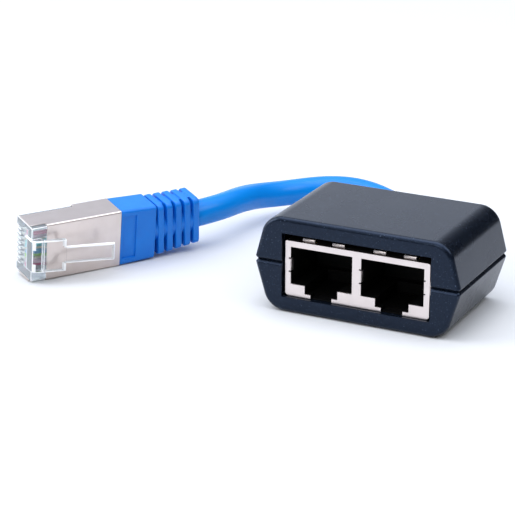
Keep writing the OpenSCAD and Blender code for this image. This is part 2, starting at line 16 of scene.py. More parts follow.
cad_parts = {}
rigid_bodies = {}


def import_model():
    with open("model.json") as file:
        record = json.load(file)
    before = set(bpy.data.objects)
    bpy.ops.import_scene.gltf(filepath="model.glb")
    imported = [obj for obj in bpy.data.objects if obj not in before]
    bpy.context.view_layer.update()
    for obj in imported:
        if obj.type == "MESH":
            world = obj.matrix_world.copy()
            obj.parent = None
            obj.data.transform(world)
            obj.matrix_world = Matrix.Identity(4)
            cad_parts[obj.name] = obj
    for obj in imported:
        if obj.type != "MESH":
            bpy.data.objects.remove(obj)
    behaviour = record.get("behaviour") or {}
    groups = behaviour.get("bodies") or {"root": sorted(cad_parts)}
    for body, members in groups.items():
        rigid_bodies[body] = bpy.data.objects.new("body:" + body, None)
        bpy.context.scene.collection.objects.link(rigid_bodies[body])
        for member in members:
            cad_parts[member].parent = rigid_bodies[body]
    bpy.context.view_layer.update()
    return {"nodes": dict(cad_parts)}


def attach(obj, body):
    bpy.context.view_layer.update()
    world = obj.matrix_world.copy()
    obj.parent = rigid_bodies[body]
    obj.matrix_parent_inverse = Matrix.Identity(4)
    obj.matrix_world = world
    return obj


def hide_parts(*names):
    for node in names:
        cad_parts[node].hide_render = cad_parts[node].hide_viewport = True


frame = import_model()

# %% [markdown]
# ## Units and the camera
# Blender works in metres, but the adapter is easier to think about in millimetres, so one
# small function turns millimetres into metres. The camera stands where the photographer
# stood: a little to the right of the jacks and twenty degrees above the table, far away with
# a long lens, which keeps the edges of the housing nearly parallel. Its values were fitted until
# the corners of the plug, the openings and the housing fell where the photograph has them.

# %% Millimetres and the camera
def mm(*values):
    """Millimetres to metres: one number, or a point."""
    metres = tuple(v * 0.001 for v in values)
    return metres if len(metres) > 1 else metres[0]


AIM = Vector(mm(-19.85, -11.77, 9.43))
DISTANCE = mm(403.72)
TURN, RISE, ROLL = [math.radians(a) for a in (26.396, 19.922, 0.163)]
LENS, SENSOR = 153.79, 36

back = Vector((math.sin(TURN) * math.cos(RISE), -math.cos(TURN) * math.cos(RISE), math.sin(RISE)))
bpy.ops.object.camera_add(location=AIM + back * DISTANCE)
camera = bpy.context.object
camera.name = "camera"
camera.data.lens = LENS
camera.data.sensor_width = SENSOR
camera.data.clip_start = 0.01
camera.data.clip_end = 10
level = back.to_track_quat("Z", "Y")
camera.rotation_euler = (level @ Matrix.Rotation(ROLL, 3, "Z").to_quaternion()).to_euler()
bpy.context.scene.camera = camera
print("camera at", [round(v, 3) for v in camera.location])

# %% [markdown]
# ## The cable's path
# A short patch cable keeps the bend it had in its bag. Its line is drawn with a uniform cubic
# B-spline: a smooth curve that is pulled towards a list of guide points without sharp turns.
# The guides are the same as the solid cable's, so the round jacket lies exactly where the
# frame holds it. It leaves the housing level, sinks to the table behind it, and climbs again
# to the plug, which lies on its narrow side.

# %% Cable route
CABLE = 5.3
PART_Z = 9.4
BACK = 11.75
GUIDES = [
    (0, BACK - 5.75, PART_Z), (0, BACK + 0.25, PART_Z), (0, BACK + 6.25, PART_Z), (-0.5, 24.5, 7.5),
    (-2.5, 31, 5), (-5.5, 37, 3), (-10.5, 41.5, 2.5), (-16.5, 44, 3.5), (-22.5, 45, 5),
    (-29, 43.5, 5.5), (-34.5, 40.5, 5), (-38.5, 35.5, 5), (-41, 29.5, 6), (-41.5, 23, 7),
    (-42.5, 17.5, 7), (-44.5, 13, 7), (-47.5, 8.5, 6.5), (-50.5, 4, 6.5), (-53.5, -0.5, 6.25),
    (-56.5, -5.5, 6.25), (-59.5, -10, 6.25),
]


def smooth_line(guides, steps):
    """Points on a uniform cubic B-spline that starts and ends on its outer guides."""
    g = [Vector(p) for p in guides]
    g = [2 * g[0] - g[1]] + g + [2 * g[-1] - g[-2]]
    points = []
    for i in range(len(g) - 3):
        for s in range(steps):
            t = s / steps
            points.append(((1 - t) ** 3 * g[i] + (3 * t ** 3 - 6 * t ** 2 + 4) * g[i + 1]
                           + (-3 * t ** 3 + 3 * t ** 2 + 3 * t + 1) * g[i + 2] + t ** 3 * g[i + 3]) / 6)
    return points + [g[-2]]


def length_of(points):
    """Length of a line through points."""
    return sum((b - a).length for a, b in zip(points, points[1:]))


route = smooth_line(GUIDES, 5)
print("cable length in mm:", round(length_of(route), 1))

# %% [markdown]
# A curve with a round bevel is the natural way to make a cable: the curve's own line is its
# centre, and the jacket's thickness is one number. When the shape is right the curve becomes a
# mesh, like all the other pieces.

# %% Cable jacket
def round_tube(name, points, diameter, sides=6):
    """A round tube along points in millimetres."""
    bpy.ops.object.select_all(action="DESELECT")
    line = bpy.data.curves.new(name, "CURVE")
    line.dimensions = "3D"
    line.bevel_depth = mm(diameter / 2)
    line.bevel_resolution = sides
    line.use_fill_caps = True
    spline = line.splines.new("POLY")
    spline.points.add(len(points) - 1)
    for target, point in zip(spline.points, points):
        target.co = (*mm(*point), 1)
    curve = bpy.data.objects.new(name, line)
    bpy.context.scene.collection.objects.link(curve)
    bpy.context.view_layer.objects.active = curve
    curve.select_set(True)
    bpy.ops.object.convert(target="MESH")
    bpy.ops.object.shade_smooth()
    return bpy.context.object


cable_jacket = round_tube("cable_jacket", route, CABLE)
print("jacket:", len(cable_jacket.data.polygons), "faces")
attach(cable_jacket, "root")
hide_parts("cable")

# %% [markdown]
# ## Hand tools
# Everything else is modelled as by hand: a primitive is added at its size and place, edges or
# faces are picked, and an operator shapes them. The first functions add a primitive, and the
# others do the picking. They test where an edge or face lies, in millimetres, instead of
# clicking on it.

# %% Hand tools
def add_box(name, low, high):
    """A cube primitive between two corners in millimetres, with its place in its mesh."""
    bpy.ops.object.select_all(action="DESELECT")
    size = [b - a for a, b in zip(low, high)]
    middle = [(a + b) / 2 for a, b in zip(low, high)]
    bpy.ops.mesh.primitive_cube_add(size=1, location=mm(*middle), scale=mm(*size))
    box = bpy.context.object
    box.name = name
    bpy.ops.object.transform_apply(location=True, rotation=True, scale=True)
    return box


def add_cylinder(name, middle, radius, depth, axis="Z", sides=64):
    """A cylinder primitive in millimetres along one of the three axes."""
    bpy.ops.object.select_all(action="DESELECT")
    turn = {"X": (0, math.pi / 2, 0), "Y": (math.pi / 2, 0, 0), "Z": (0, 0, 0)}[axis]
    bpy.ops.mesh.primitive_cylinder_add(vertices=sides, radius=mm(radius), depth=mm(depth),
                                        location=mm(*middle), rotation=turn)
    tube = bpy.context.object
    tube.name = name
    bpy.ops.object.transform_apply(location=True, rotation=True, scale=True)
    return tube


def pick(piece, kind, test):
    """Edit mode, with the faces or edges selected whose corners in mm pass a test."""
    bpy.context.view_layer.objects.active = piece
    piece.select_set(True)
    bpy.ops.object.mode_set(mode="EDIT")
    bpy.ops.mesh.select_mode(type=kind)
    bpy.ops.mesh.select_all(action="DESELECT")
    mesh = bmesh.from_edit_mesh(piece.data)
    mesh.normal_update()
    found = 0
    for item in mesh.faces if kind == "FACE" else mesh.edges:
        if test([v.co * 1000 for v in item.verts], item):
            item.select_set(True)
            found += 1
    mesh.select_flush_mode()
    bmesh.update_edit_mesh(piece.data)
    return found


def done():
    """Back to object mode."""
    bpy.ops.object.mode_set(mode="OBJECT")


SAME = 0.01


def along(axis, value):
    """A test that is true when all the corners have the same place along an axis."""
    i = "xyz".index(axis)
    return lambda points, item: all(abs(p[i] - value) < SAME for p in points)


def run(points, axis):
    """How far an edge runs along an axis, in millimetres."""
    i = "xyz".index(axis)
    return abs(points[0][i] - points[1][i])


def bevel_edges(piece, test, width, segments=1):
    """Rounds or chamfers the edges that pass a test."""
    found = pick(piece, "EDGE", test)
    bpy.ops.mesh.bevel(offset=mm(width), offset_type="OFFSET", segments=segments, profile=0.5,
                       affect="EDGES", clamp_overlap=False)
    done()
    return found


def scale_face(piece, test, factors, middle):
    """Scales the faces that pass a test about a point in millimetres."""
    pick(piece, "FACE", test)
    bpy.ops.transform.resize(value=factors, center_override=mm(*middle))
    done()


def divide(piece, planes, test):
    """Cuts the faces that pass a test along planes, each a point in mm and a direction."""
    for spot, way in planes:
        pick(piece, "FACE", test)
        bpy.ops.mesh.bisect(plane_co=mm(*spot), plane_no=way)
        done()


# %% [markdown]
# Modifiers do the rest: Boolean cuts, a fine bevel along sharp edges, and weighted normals, which
# keep large faces flat beside a rounding. Each is applied at once, so a piece is a plain mesh
# after every step.

# %% Modifiers
def apply_modifier(piece, kind, **settings):
    """Adds a modifier, sets it up and applies it at once."""
    bpy.ops.object.select_all(action="DESELECT")
    bpy.context.view_layer.objects.active = piece
    piece.select_set(True)
    modifier = piece.modifiers.new(kind.lower(), kind)
    for name, value in settings.items():
        setattr(modifier, name, value)
    bpy.ops.object.modifier_apply(modifier=modifier.name)


def combine(piece, tools, operation="DIFFERENCE"):
    """Cuts the tools out of a piece, or joins them to it, and throws the tools away."""
    for tool in tools:
        apply_modifier(piece, "BOOLEAN", operation=operation, solver="EXACT", object=tool)
        bpy.data.objects.remove(tool)
    return piece


def smooth(piece, angle):
    """Smooth shading across edges under an angle, with normals that keep large faces flat."""
    bpy.ops.object.shade_smooth_by_angle(angle=math.radians(angle))
    apply_modifier(piece, "WEIGHTED_NORMAL", keep_sharp=True)
    return piece


def soften(piece, width, segments, angle):
    """A fine rounding on every edge sharper than an angle, then smooth shading."""
    apply_modifier(piece, "BEVEL", width=mm(width), segments=segments, limit_method="ANGLE",
                   angle_limit=math.radians(angle), use_clamp_overlap=False, miter_outer="MITER_ARC")
    return smooth(piece, angle + 8)


def finish_piece(piece, slot, *nodes):
    """Attaches a finished piece to the root body, hides the frame's nodes that it replaces and prints its
    size.
    """
    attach(piece, "root")
    if nodes:
        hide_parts(*nodes)
    size = [round(v * 1000, 1) for v in piece.dimensions]
    print(piece.name, len(piece.data.polygons), "faces,", size, "mm")


# %% [markdown]
# ## The housing
# The real housing is two ABS shells from one mould each. Seen from the front it is wider at
# the parting line than at the top and base, because both shells lean inwards so that they
# drop out of the mould. A cube has the right number of faces to begin with: its far face is
# scaled down to make the lean, its two long edges get the big four-millimetre rounding, and
# the outline of the front and back faces gets a smaller one.

# %% Shell blanks
BODY_W, BODY_H, FRONT, FACE = 40.6, 18.2, -12.5, -11.75
UP, DOWN = math.radians(15), math.radians(17)
LONG_EDGE, OUTLINE, GROOVE = 4, 0.9, 0.55


def shell_blank(name, far, lean):
    """One shell as a solid between the parting line and its flat far face."""
    low, high = sorted((PART_Z, far))
    blank = add_box(name, (-BODY_W / 2, FRONT, low), (BODY_W / 2, BACK, high))
    half = BODY_W / 2 - abs(far - PART_Z) * math.tan(lean)
    scale_face(blank, along("z", far), (half / (BODY_W / 2), 1, 1), (0, 0, far))
    radius = LONG_EDGE * math.tan((math.pi / 2 - lean) / 2)
    bevel_edges(blank, lambda p, e: along("z", far)(p, e) and run(p, "x") < SAME, radius, 10)
    bevel_edges(blank, lambda p, e: (along("y", FRONT)(p, e) or along("y", BACK)(p, e))
                and not along("z", PART_Z)(p, e), OUTLINE, 4)
    bevel_edges(blank, along("z", PART_Z), GROOVE, 1)
    return blank


upper = shell_blank("housing_top", BODY_H, UP)
lower = shell_blank("housing_bottom", 0, DOWN)
print("shell blanks:", len(upper.data.polygons), len(lower.data.polygons), "faces")

# %% [markdown]
# The chamfer along the parting line is half of a V groove: where the shells meet, the two
# chamfers leave the thin dark line that runs all round the real housing. Next the shells are
# hollowed, and the window for the jacks, the round hole for the cable and the screw holes in
# the base are cut out with Boolean modifiers.

# %% Hollow the shells
WALL, OVERLAP, INNER_EDGE = 1.6, 0.5, 1.8
WINDOW_HALF, WINDOW_LOW, WINDOW_TOP = 14.6, 3.0, 15.2
GROMMET_HOLE = 4.05
SCREWS = [(-13.1, 7.5), (13.1, 7.5)]
BOSS, HEAD_HOLE, SHAFT_HOLE, PILOT_HOLE = 2.4, 2.15, 1.1, 1.05


def cavity(far, lean, sink):
    """The space inside a shell, as a tool that reaches a little past the parting line."""
    near = PART_Z - OVERLAP if far > PART_Z else PART_Z + OVERLAP
    low, high = sorted((near, far))
    half = BODY_W / 2 - sink + OVERLAP * math.tan(lean)
    tool = add_box("cavity", (-half, FRONT + WALL, low), (half, BACK - WALL, high))
    far_half = half - (high - low) * math.tan(lean)
    scale_face(tool, along("z", far), (far_half / half, 1, 1), (0, 0, far))
    bevel_edges(tool, lambda p, e: along("z", far)(p, e) and run(p, "x") < SAME, INNER_EDGE, 5)
    return tool


def window():
    """The opening in front that shows the jacks."""
    return add_box("window", (-WINDOW_HALF, FRONT - 1, WINDOW_LOW), (WINDOW_HALF, FRONT + 4, WINDOW_TOP))


def cable_hole():
    """The round hole in the back wall that holds the grommet."""
    return add_cylinder("cable_hole", (0, BACK, PART_Z), GROMMET_HOLE, 8, "Y")


def at_screws(name, z, radius, depth, sides):
    """One cylinder on each screw's axis, with its middle at a height."""
    return [add_cylinder(name, (x, y, z), radius, depth, sides=sides) for x, y in SCREWS]


combine(upper, [cavity(BODY_H - WALL, UP, WALL / math.cos(UP)), window(), cable_hole()])
combine(lower, [cavity(WALL, DOWN, WALL / math.cos(DOWN)), window(), cable_hole()])
combine(lower, at_screws("boss", 5.2, BOSS, 7.6, 32), "UNION")
combine(lower, at_screws("head_hole", 0.5, HEAD_HOLE, 3.0, 48))
combine(lower, at_screws("shaft_hole", 5, SHAFT_HOLE, 12, 24))
combine(upper, at_screws("boss", 13.2, BOSS, 7.4, 32), "UNION")
combine(upper, at_screws("pilot_hole", 11, PILOT_HOLE, 5.2, 24))
for shell in (upper, lower):
    soften(shell, 0.12, 2, 32)
finish_piece(upper, "housing_plastic", "upper_shell")
finish_piece(lower, "housing_plastic", "lower_shell")

# %% [markdown]
# ## The jack's shield
# The bright frame in the window is one sheet of tinned steel, 0.3 mm thick, folded into a box
# round both jacks. It starts as a box the size of the jack. The folds are bevelled, the side
# that faces the circuit board is deleted, and Solidify gives the sheet its thickness inwards.
# Then the two openings are punched, each with the two steps that guide a plug's latch. A face
# with holes in it shades badly, so a few straight cuts divide the sheet into simple faces.

# %% Shield box
JACK_HALF, JACK_Z, JACK_TOP, JACK_BACK, SHEET = 14.2, 3.05, 13.75, 2.85, 0.3
PORTS = (-6.985, 6.985)
PORT_HALF, PORT_Z, PORT_TOP = 6.1, 5.45, 12.6
WIDE_NOTCH, WIDE_NOTCH_Z = 3.27, 3.85
TAB_NOTCH, TAB_NOTCH_Z = 2.1, 2.5
SLIT, SLIT_Z = 0.15, (7.83, 10.38)
FINGER_AT, FINGER_HALF, SLOT_HALF = 2.95, 1.2, 1.4


def punch(name, middle, half, low, high):
    """A tool that reaches through the front of the sheet and a little way behind it."""
    return add_box(name, (middle - half, FACE - 1, low), (middle + half, FACE + 0.8, high))


shield = add_box("jack_shield_sheet", (-JACK_HALF, FACE, JACK_Z), (JACK_HALF, JACK_BACK, JACK_TOP))
bevel_edges(shield, lambda p, e: along("z", JACK_TOP)(p, e) and run(p, "x") < SAME, 0.3, 4)
bevel_edges(shield, lambda p, e: along("z", JACK_Z)(p, e) and run(p, "x") < SAME, 0.5, 1)
pick(shield, "FACE", along("z", JACK_Z))
bpy.ops.mesh.delete(type="FACE")
done()
apply_modifier(shield, "SOLIDIFY", thickness=mm(SHEET), offset=-1, use_even_offset=True)

slits = []
for centre in PORTS:
    punches = [
        punch("port", centre, PORT_HALF, PORT_Z, PORT_TOP),
        punch("notch", centre, WIDE_NOTCH, WIDE_NOTCH_Z, PORT_Z + 0.5),
        punch("notch", centre, TAB_NOTCH, TAB_NOTCH_Z, 4.3),
    ]
    for side in (-1, 1):
        edge = centre + side * PORT_HALF
        for z in SLIT_Z:
            slits.append(add_box("slit", (edge - 0.4, FACE - 1, z - SLIT),
                                 (edge + 0.3, FACE + 0.8, z + SLIT)))
        middle = centre + side * FINGER_AT
        punches.append(add_box("slot", (middle - SLOT_HALF, FACE + 0.3, JACK_TOP - 0.4),
                               (middle + SLOT_HALF, FACE + 6.2, JACK_TOP + 1)))
    combine(shield, punches)
pick(shield, "FACE", lambda p, f: True)
bpy.ops.mesh.remove_doubles(threshold=mm(0.02))
done()
planes = [((x, 0, 0), (1, 0, 0)) for x in (*PORTS, 0)]
planes += [((0, 0, z), (0, 0, 1)) for z in (4.9, 6.6, 9.1, 11.8)]
divide(shield, planes, lambda p, f: True)
print("shield sheet:", len(shield.data.polygons), "faces")

# %% [markdown]
# The springs are tongues of the same sheet. Four ground fingers rise from the roof just behind
# the rim and arch back over it. The jack is a standard part made for metal cases, where its
# fingers touch the panel, and in this plastic housing they stand free. A thin bent strip is
# easiest to draw from the side: a filled circle gives one corner for each point of the outline,
# the corners are moved onto the outline, and the face is extruded to its width. The slits beside
# the springs are cut after the edges are rounded, because a bevel spoils faces round thin cuts.

# %% Bent strips
def band(path, thickness):
    """Outline of a strip of constant thickness along a flat path, with mitred bends."""
    points = [Vector(p) for p in path]
    ways = [(b - a).normalized() for a, b in zip(points, points[1:])]
    left, right = [], []
    for i, point in enumerate(points):
        before, after = ways[max(i - 1, 0)], ways[min(i, len(ways) - 1)]
        a, b = Vector((-before.y, before.x)), Vector((-after.y, after.x))
        mitre = (a + b).normalized()
        step = mitre * (thickness / 2 / mitre.dot(a))
        left.append(point + step)
        right.append(point - step)
    return left + right[::-1]


def slab(name, outline, start, end, plane):
    """A flat outline in mm, extruded from start to end along the axis that its plane lacks."""
    bpy.ops.object.select_all(action="DESELECT")
    bpy.ops.mesh.primitive_circle_add(vertices=len(outline), radius=mm(1), fill_type="NGON")
    piece = bpy.context.object
    piece.name = name
    place = {"xy": lambda u, v, w: (u, v, w), "yz": lambda u, v, w: (w, u, v)}[plane]
    for corner, (u, v) in zip(piece.data.vertices, outline):
        corner.co = mm(*place(u, v, start))
    bpy.ops.object.mode_set(mode="EDIT")
    bpy.ops.mesh.select_all(action="SELECT")
    bpy.ops.mesh.extrude_region_move(TRANSFORM_OT_translate={"value": mm(*place(0, 0, end - start))})
    bpy.ops.mesh.select_all(action="SELECT")
    bpy.ops.mesh.normals_make_consistent(inside=False)
    done()
    return piece


def join(pieces):
    """Joins pieces that don't need a clean cut between them into the first one."""
    bpy.ops.object.select_all(action="DESELECT")
    for piece in pieces:
        piece.select_set(True)
    bpy.context.view_layer.objects.active = pieces[0]
    bpy.ops.object.join()
    return pieces[0]


def bent(outline, x, side):
    """An outline from steps away from the port or jack's middle, and back from its face."""
    return [(x + side * out, FACE + behind) for out, behind in outline]


PLUG_SPRING = [(0.12, 0.25), (0, 0.25), (-0.14, 0.55), (-0.14, 1.1), (0.12, 1.3)]
SIDE_SPRING = [(-0.15, 0.1), (0.1, 0.1), (0.26, 0.5), (0.26, 1.2), (0, 4), (-0.15, 4)]
springs = []
finger = [(FACE + 1.05, JACK_TOP - 0.5), (FACE + 1.05, JACK_TOP + 0.14), (FACE + 1.2, JACK_TOP + 0.4),
          (FACE + 1.5, JACK_TOP + 0.54), (FACE + 2.0, JACK_TOP + 0.56), (FACE + 6.5, JACK_TOP - 0.15)]
for centre in PORTS:
    for side in (-1, 1):
        middle = centre + side * FINGER_AT
        springs.append(slab("ground_finger", band(finger, SHEET), middle - FINGER_HALF,
                            middle + FINGER_HALF, "yz"))
        edge = centre + side * PORT_HALF
        springs.append(slab("plug_spring", bent(PLUG_SPRING, edge, side), 7.98, 10.23, "xy"))
for side in (-1, 1):
    springs.append(slab("side_spring", bent(SIDE_SPRING, side * JACK_HALF, side), *SLIT_Z, "xy"))
soften(shield, 0.05, 2, 32)
combine(shield, slits)
shield = smooth(join([shield, soften(join(springs), 0.05, 2, 32)]), 40)
finish_piece(shield, "jack_shield_metal", "jack_shield")

# %% [markdown]
# ## The plug's own axes
# The plug lies on its narrow side, turned and a little rolled towards its latch. It is far
# easier to model it square and then turn it: its pieces are built with x to the nose, y out of
# the latch side and z across the contacts, and one function moves them to their real place.

# %% Plug axes
PLUG_AT, PLUG_TURN = (-61.7, -18.1, 0), (-7.5, 0, 237)
PLUG_W, PLUG_T, NOSE, SHIELD_L = 11.7, 6.8, 3.2, 15.7
AXIS_Y, AXIS_Z = -PLUG_T / 2, PLUG_W / 2
PITCH = 1.016


def turn_into_place(piece, at, degrees):
    """Moves and turns a piece, and bakes that into its mesh."""
    bpy.ops.object.select_all(action="DESELECT")
    bpy.context.view_layer.objects.active = piece
    piece.select_set(True)
    piece.location = mm(*at)
    piece.rotation_euler = [math.radians(a) for a in degrees]
    bpy.ops.object.transform_apply(location=True, rotation=True, scale=True)
    return piece


# %% [markdown]
# ## The plug's shield
# This sheet is a quarter of a millimetre thick and wraps the clear body. It is open at the
# nose, where the latch starts, and over the contacts. The method is the jack's: a box with
# bevelled folds, its two ends deleted, thickness by Solidify, and two openings cut. Where the
# sheet's ends lap over each other, behind the contacts, a thin plate is joined on.

# %% Plug shield
PLUG_SHEET, CONTACTS_X, LAP_X = 0.25, -8.15, -12.9
plug_sheet = add_box("plug_shield_sheet", (-SHIELD_L, -PLUG_T, 0), (NOSE, 0, PLUG_W))
bevel_edges(plug_sheet, lambda p, e: run(p, "y") < SAME and run(p, "z") < SAME, 0.4, 4)
pick(plug_sheet, "FACE", lambda p, f: along("x", NOSE)(p, f) or along("x", -SHIELD_L)(p, f))
bpy.ops.mesh.delete(type="FACE")
done()
apply_modifier(plug_sheet, "SOLIDIFY", thickness=mm(PLUG_SHEET), offset=-1, use_even_offset=True)
combine(plug_sheet, [
    add_box("nose_opening", (0, -1, -1), (NOSE + 1, 1, PLUG_W + 1)),
    add_box("contact_opening", (CONTACTS_X, -PLUG_T - 1, -1), (NOSE + 1, -PLUG_T + 1.2, PLUG_W + 1)),
])
lap = add_box("lapped_seam", (-SHIELD_L, -PLUG_T - 0.4, 0.5), (LAP_X, -PLUG_T + 0.1, PLUG_W - 0.5))
combine(plug_sheet, [lap], "UNION")
soften(plug_sheet, 0.05, 2, 32)
turn_into_place(plug_sheet, PLUG_AT, PLUG_TURN)
finish_piece(plug_sheet, "plug_shield_metal", "plug_shield")

# %% [markdown]
# ## The clear body and its latch
# The body is moulded in clear polycarbonate: a solid nose with eight narrow slots for the
# contacts, a pocket in which the coloured wires end, and on top the springy latch. The latch is
# wide where it grows out of the nose, steps in at two shoulders that lock the plug in a jack,
# and goes on as a narrow tab for the finger. Its edges are rounded, because it is the bright
# rim of light on those edges that lets us see something transparent at all.

# %% Clear body
body = add_box("plug_clear_body", (-15.4, -PLUG_T + 0.3, 0.3), (NOSE, -0.3, PLUG_W - 0.3))
combine(body, [add_box("nose_cover", (0.02, -1.2, 0.3), (NOSE, 0, PLUG_W - 0.3))], "UNION")
row_half = 3.5 * PITCH + 0.65
SLOT = 0.25
tools = [
    add_box("jacket_pocket", (-17, AXIS_Y - 2.75, AXIS_Z - row_half),
            (-7.9, AXIS_Y + 2.75, AXIS_Z + row_half)),
    add_box("fan_pocket", (-8, AXIS_Y - 2, AXIS_Z - row_half - 0.2),
            (-3.9, AXIS_Y + 2, AXIS_Z + row_half + 0.2)),
    add_box("row_pocket", (-4, -4.15, AXIS_Z - row_half), (2.2, -2.45, AXIS_Z + row_half)),
]
for k in range(8):
    z = AXIS_Z + (k - 3.5) * PITCH
    tools.append(add_box("slot", (-1.3, -PLUG_T - 1, z - SLOT), (2.2, -4.05, z + SLOT)))
    tools.append(add_box("slot", (-1.3, -PLUG_T - 1, z - SLOT), (NOSE + 1, -PLUG_T + 2, z + SLOT)))
combine(body, tools)

RISE_Y, ROOT_Y, TIP_X, SHOULDER_X = 4.4, 1.3, -12.4, -3.0
TAB_HALF, WIDE_HALF, LATCH_T = 1.7, 3.3, 0.85
slope = (RISE_Y - ROOT_Y) / (NOSE - 1 - TIP_X)
shoulder_y = ROOT_Y + slope * (NOSE - 1 - SHOULDER_X)
wide = [(3.5, -2.4), (3.5, 0.2), (3.3, 0.75), (2.8, 1.15), (2.2, ROOT_Y), (SHOULDER_X, shoulder_y),
        (SHOULDER_X, shoulder_y - LATCH_T), (0.9, ROOT_Y + slope * 1.3 - LATCH_T), (1.2, 0.2),
        (1.2, -1), (3.1, -2.4)]
latch = slab("latch", wide, AXIS_Z - WIDE_HALF, AXIS_Z + WIDE_HALF, "xy")
bevel_edges(latch, lambda p, e: run(p, "z") < SAME and min(q.x for q in p) > 0.5, 0.25, 3)
tab = [(SHOULDER_X + 1, shoulder_y - slope - 0.8), (SHOULDER_X + 1, shoulder_y - slope - 0.1),
       (TIP_X + 0.3, RISE_Y), (TIP_X, RISE_Y - 0.3), (TIP_X, RISE_Y - 0.75)]
combine(latch, [slab("tab", tab, AXIS_Z - TAB_HALF, AXIS_Z + TAB_HALF, "xy")], "UNION")
combine(body, [latch], "UNION")
print("clear body:", len(body.data.polygons), "faces")

# %% [markdown]
# Light that enters a clear plate is led along inside it and leaves at its ends. That is why the
# latch's sides, its shoulders and the end of its tab look white. That glow is painted on here as a
# highlight: a narrow band at each end and a line beside each side are cut off with bisect. The
# latch's faces then get a clear finish of their own, and the bands, lines and sides an opaque
# white matt one, a painted highlight, as do the small faces that round the edges of the nose.

# %% Latch ends
SHOULDER_BAND, TIP_BAND, LINE = SHOULDER_X + 0.45, TIP_X + 0.4, 0.24


def on_latch(points, face):
    """True on the part of the latch that stands clear of the nose."""
    return min(q.y for q in points) > 0.3


planes = [((x, 0, 0), (1, 0, 0)) for x in (SHOULDER_BAND, SHOULDER_X, TIP_BAND)]
for half in (TAB_HALF, TAB_HALF - LINE, WIDE_HALF - LINE):
    planes += [((0, 0, AXIS_Z - half), (0, 0, 1)), ((0, 0, AXIS_Z + half), (0, 0, 1))]
divide(body, planes, on_latch)
soften(body, 0.1, 2, 28)


def painted_glow_latch_rim(points, face):
    """True on the sides of the latch, in the lines beside them, and on its shoulders and tip: the faces with
    the painted highlight.
    """
    if not on_latch(points, face):
        return False
    middle = sum(points, Vector()) / len(points)
    off = abs(middle.z - AXIS_Z)
    half = TAB_HALF if middle.x < SHOULDER_X else WIDE_HALF
    return (abs(face.normal.z) > 0.7 or middle.x < TIP_BAND or off > half - LINE
            or (off > TAB_HALF and middle.x < SHOULDER_BAND))


def painted_glow_nose_edge(points, face):
    """True on the fine roundings along the edges of the nose and its slots, which get the painted highlight.
    """
    narrow = face.calc_area() < mm(1) * mm(0.8)
    return narrow and min(q.x for q in points) > -0.1 and max(abs(n) for n in face.normal) < 0.97


# Slot 1 holds the painted highlight: opaque white on the latch's rim and on the nose's edges.
for _ in range(3):
    bpy.ops.object.material_slot_add()
for slot, test in ((2, on_latch), (1, painted_glow_latch_rim), (1, painted_glow_nose_edge)):
    body.active_material_index = slot
    print("faces for finish", slot, ":", pick(body, "FACE", test))
    bpy.ops.object.material_slot_assign()
    done()
turn_into_place(body, PLUG_AT, PLUG_TURN)
finish_piece(body, "clear_plastic", "plug_body")

# %% [markdown]
# ## The boot
# The blue boot is moulded on in a soft plastic: a solid block that grips the end of the plug,
# with a shallow recess in its broad face, and behind it five fins that let the tail flex. Each
# fin is a rounded box a little less tall than the one before it, and a round core and a flat web
# through the middle join them.

# %% Boot
BLOCK_X, FIN_T, FIN_STEP, FINS = -23.4, 1.3, 1.95, 5
FIN_FIRST, FIN_LAST, TAIL_TURN = 11.1, 9.9, (0, 3.5, 0)
boot = add_box("boot_moulding", (BLOCK_X, -PLUG_T, 0), (-SHIELD_L - 0.05, 0, PLUG_W))
scale_face(boot, along("x", BLOCK_X), (1, 1, FIN_FIRST / PLUG_W), (BLOCK_X, AXIS_Y, AXIS_Z))
bevel_edges(boot, lambda p, e: run(p, "x") > 1, 0.6, 4)
bevel_edges(boot, along("x", BLOCK_X), 0.25, 2)
combine(boot, [add_box("recess", (-19.1, -0.35, 1.4), (-16.2, 1, PLUG_W - 1.4))])

tail = add_cylinder("tail_core", (-FINS * FIN_STEP / 2 + 0.6, 0, 0), 3.1, FINS * FIN_STEP - 0.4, "X", 48)
parts = [add_box("web", (-FINS * FIN_STEP + 0.6, -1.3, -4.8), (0.6, 1.3, 4.8))]
for i in range(1, FINS + 1):
    height = FIN_FIRST + (FIN_LAST - FIN_FIRST) * i / FINS
    fin = add_box("fin", (-i * FIN_STEP, -3.3, -height / 2), (-i * FIN_STEP + FIN_T, 3.3, height / 2))
    bevel_edges(fin, lambda p, e: run(p, "x") > 1, 1.1, 5)
    bevel_edges(fin, lambda p, e: run(p, "x") < SAME, 0.22, 2)
    parts.append(fin)
combine(tail, parts, "UNION")
turn_into_place(tail, (BLOCK_X, AXIS_Y, AXIS_Z), TAIL_TURN)
combine(boot, [tail], "UNION")
bore = add_cylinder("bore", (-5.5, 0, 0), 2.9, 15, "X", 48)
turn_into_place(bore, (BLOCK_X, AXIS_Y, AXIS_Z), TAIL_TURN)
block_bore = add_cylinder("block_bore", (-19, AXIS_Y, AXIS_Z), 2.8, 8.2, "X", 48)
combine(boot, [bore, block_bore])
soften(boot, 0.06, 2, 35)
turn_into_place(boot, PLUG_AT, PLUG_TURN)
finish_piece(boot, "boot_plastic", "boot")

# %% [markdown]
# ## What hangs on the cable
# Now that its pieces exist, the ones that hang on the cable are gathered in a list: the clear
# body, the plug's shield, the boot, the grommet, and the plug's contacts and wires.

nodes = frame["nodes"]
on_cable = [body, plug_sheet, boot, nodes["cable_grommet"]]
on_cable += [nodes[f"plug_contact_{k}"] for k in range(1, 9)]
on_cable += [nodes[f"plug_wire_{k}"] for k in range(1, 9)]

# %% [markdown]
# ## Materials
# Every finish is built from nodes, so that it looks right at any distance. Colours are written
# as the hex values that a colour picker shows, and one function turns them into the linear
# values that light is computed with. The others add nodes: a noise, a value between two limits,
# a blend of two colours and a bump are all that most of these finishes need.

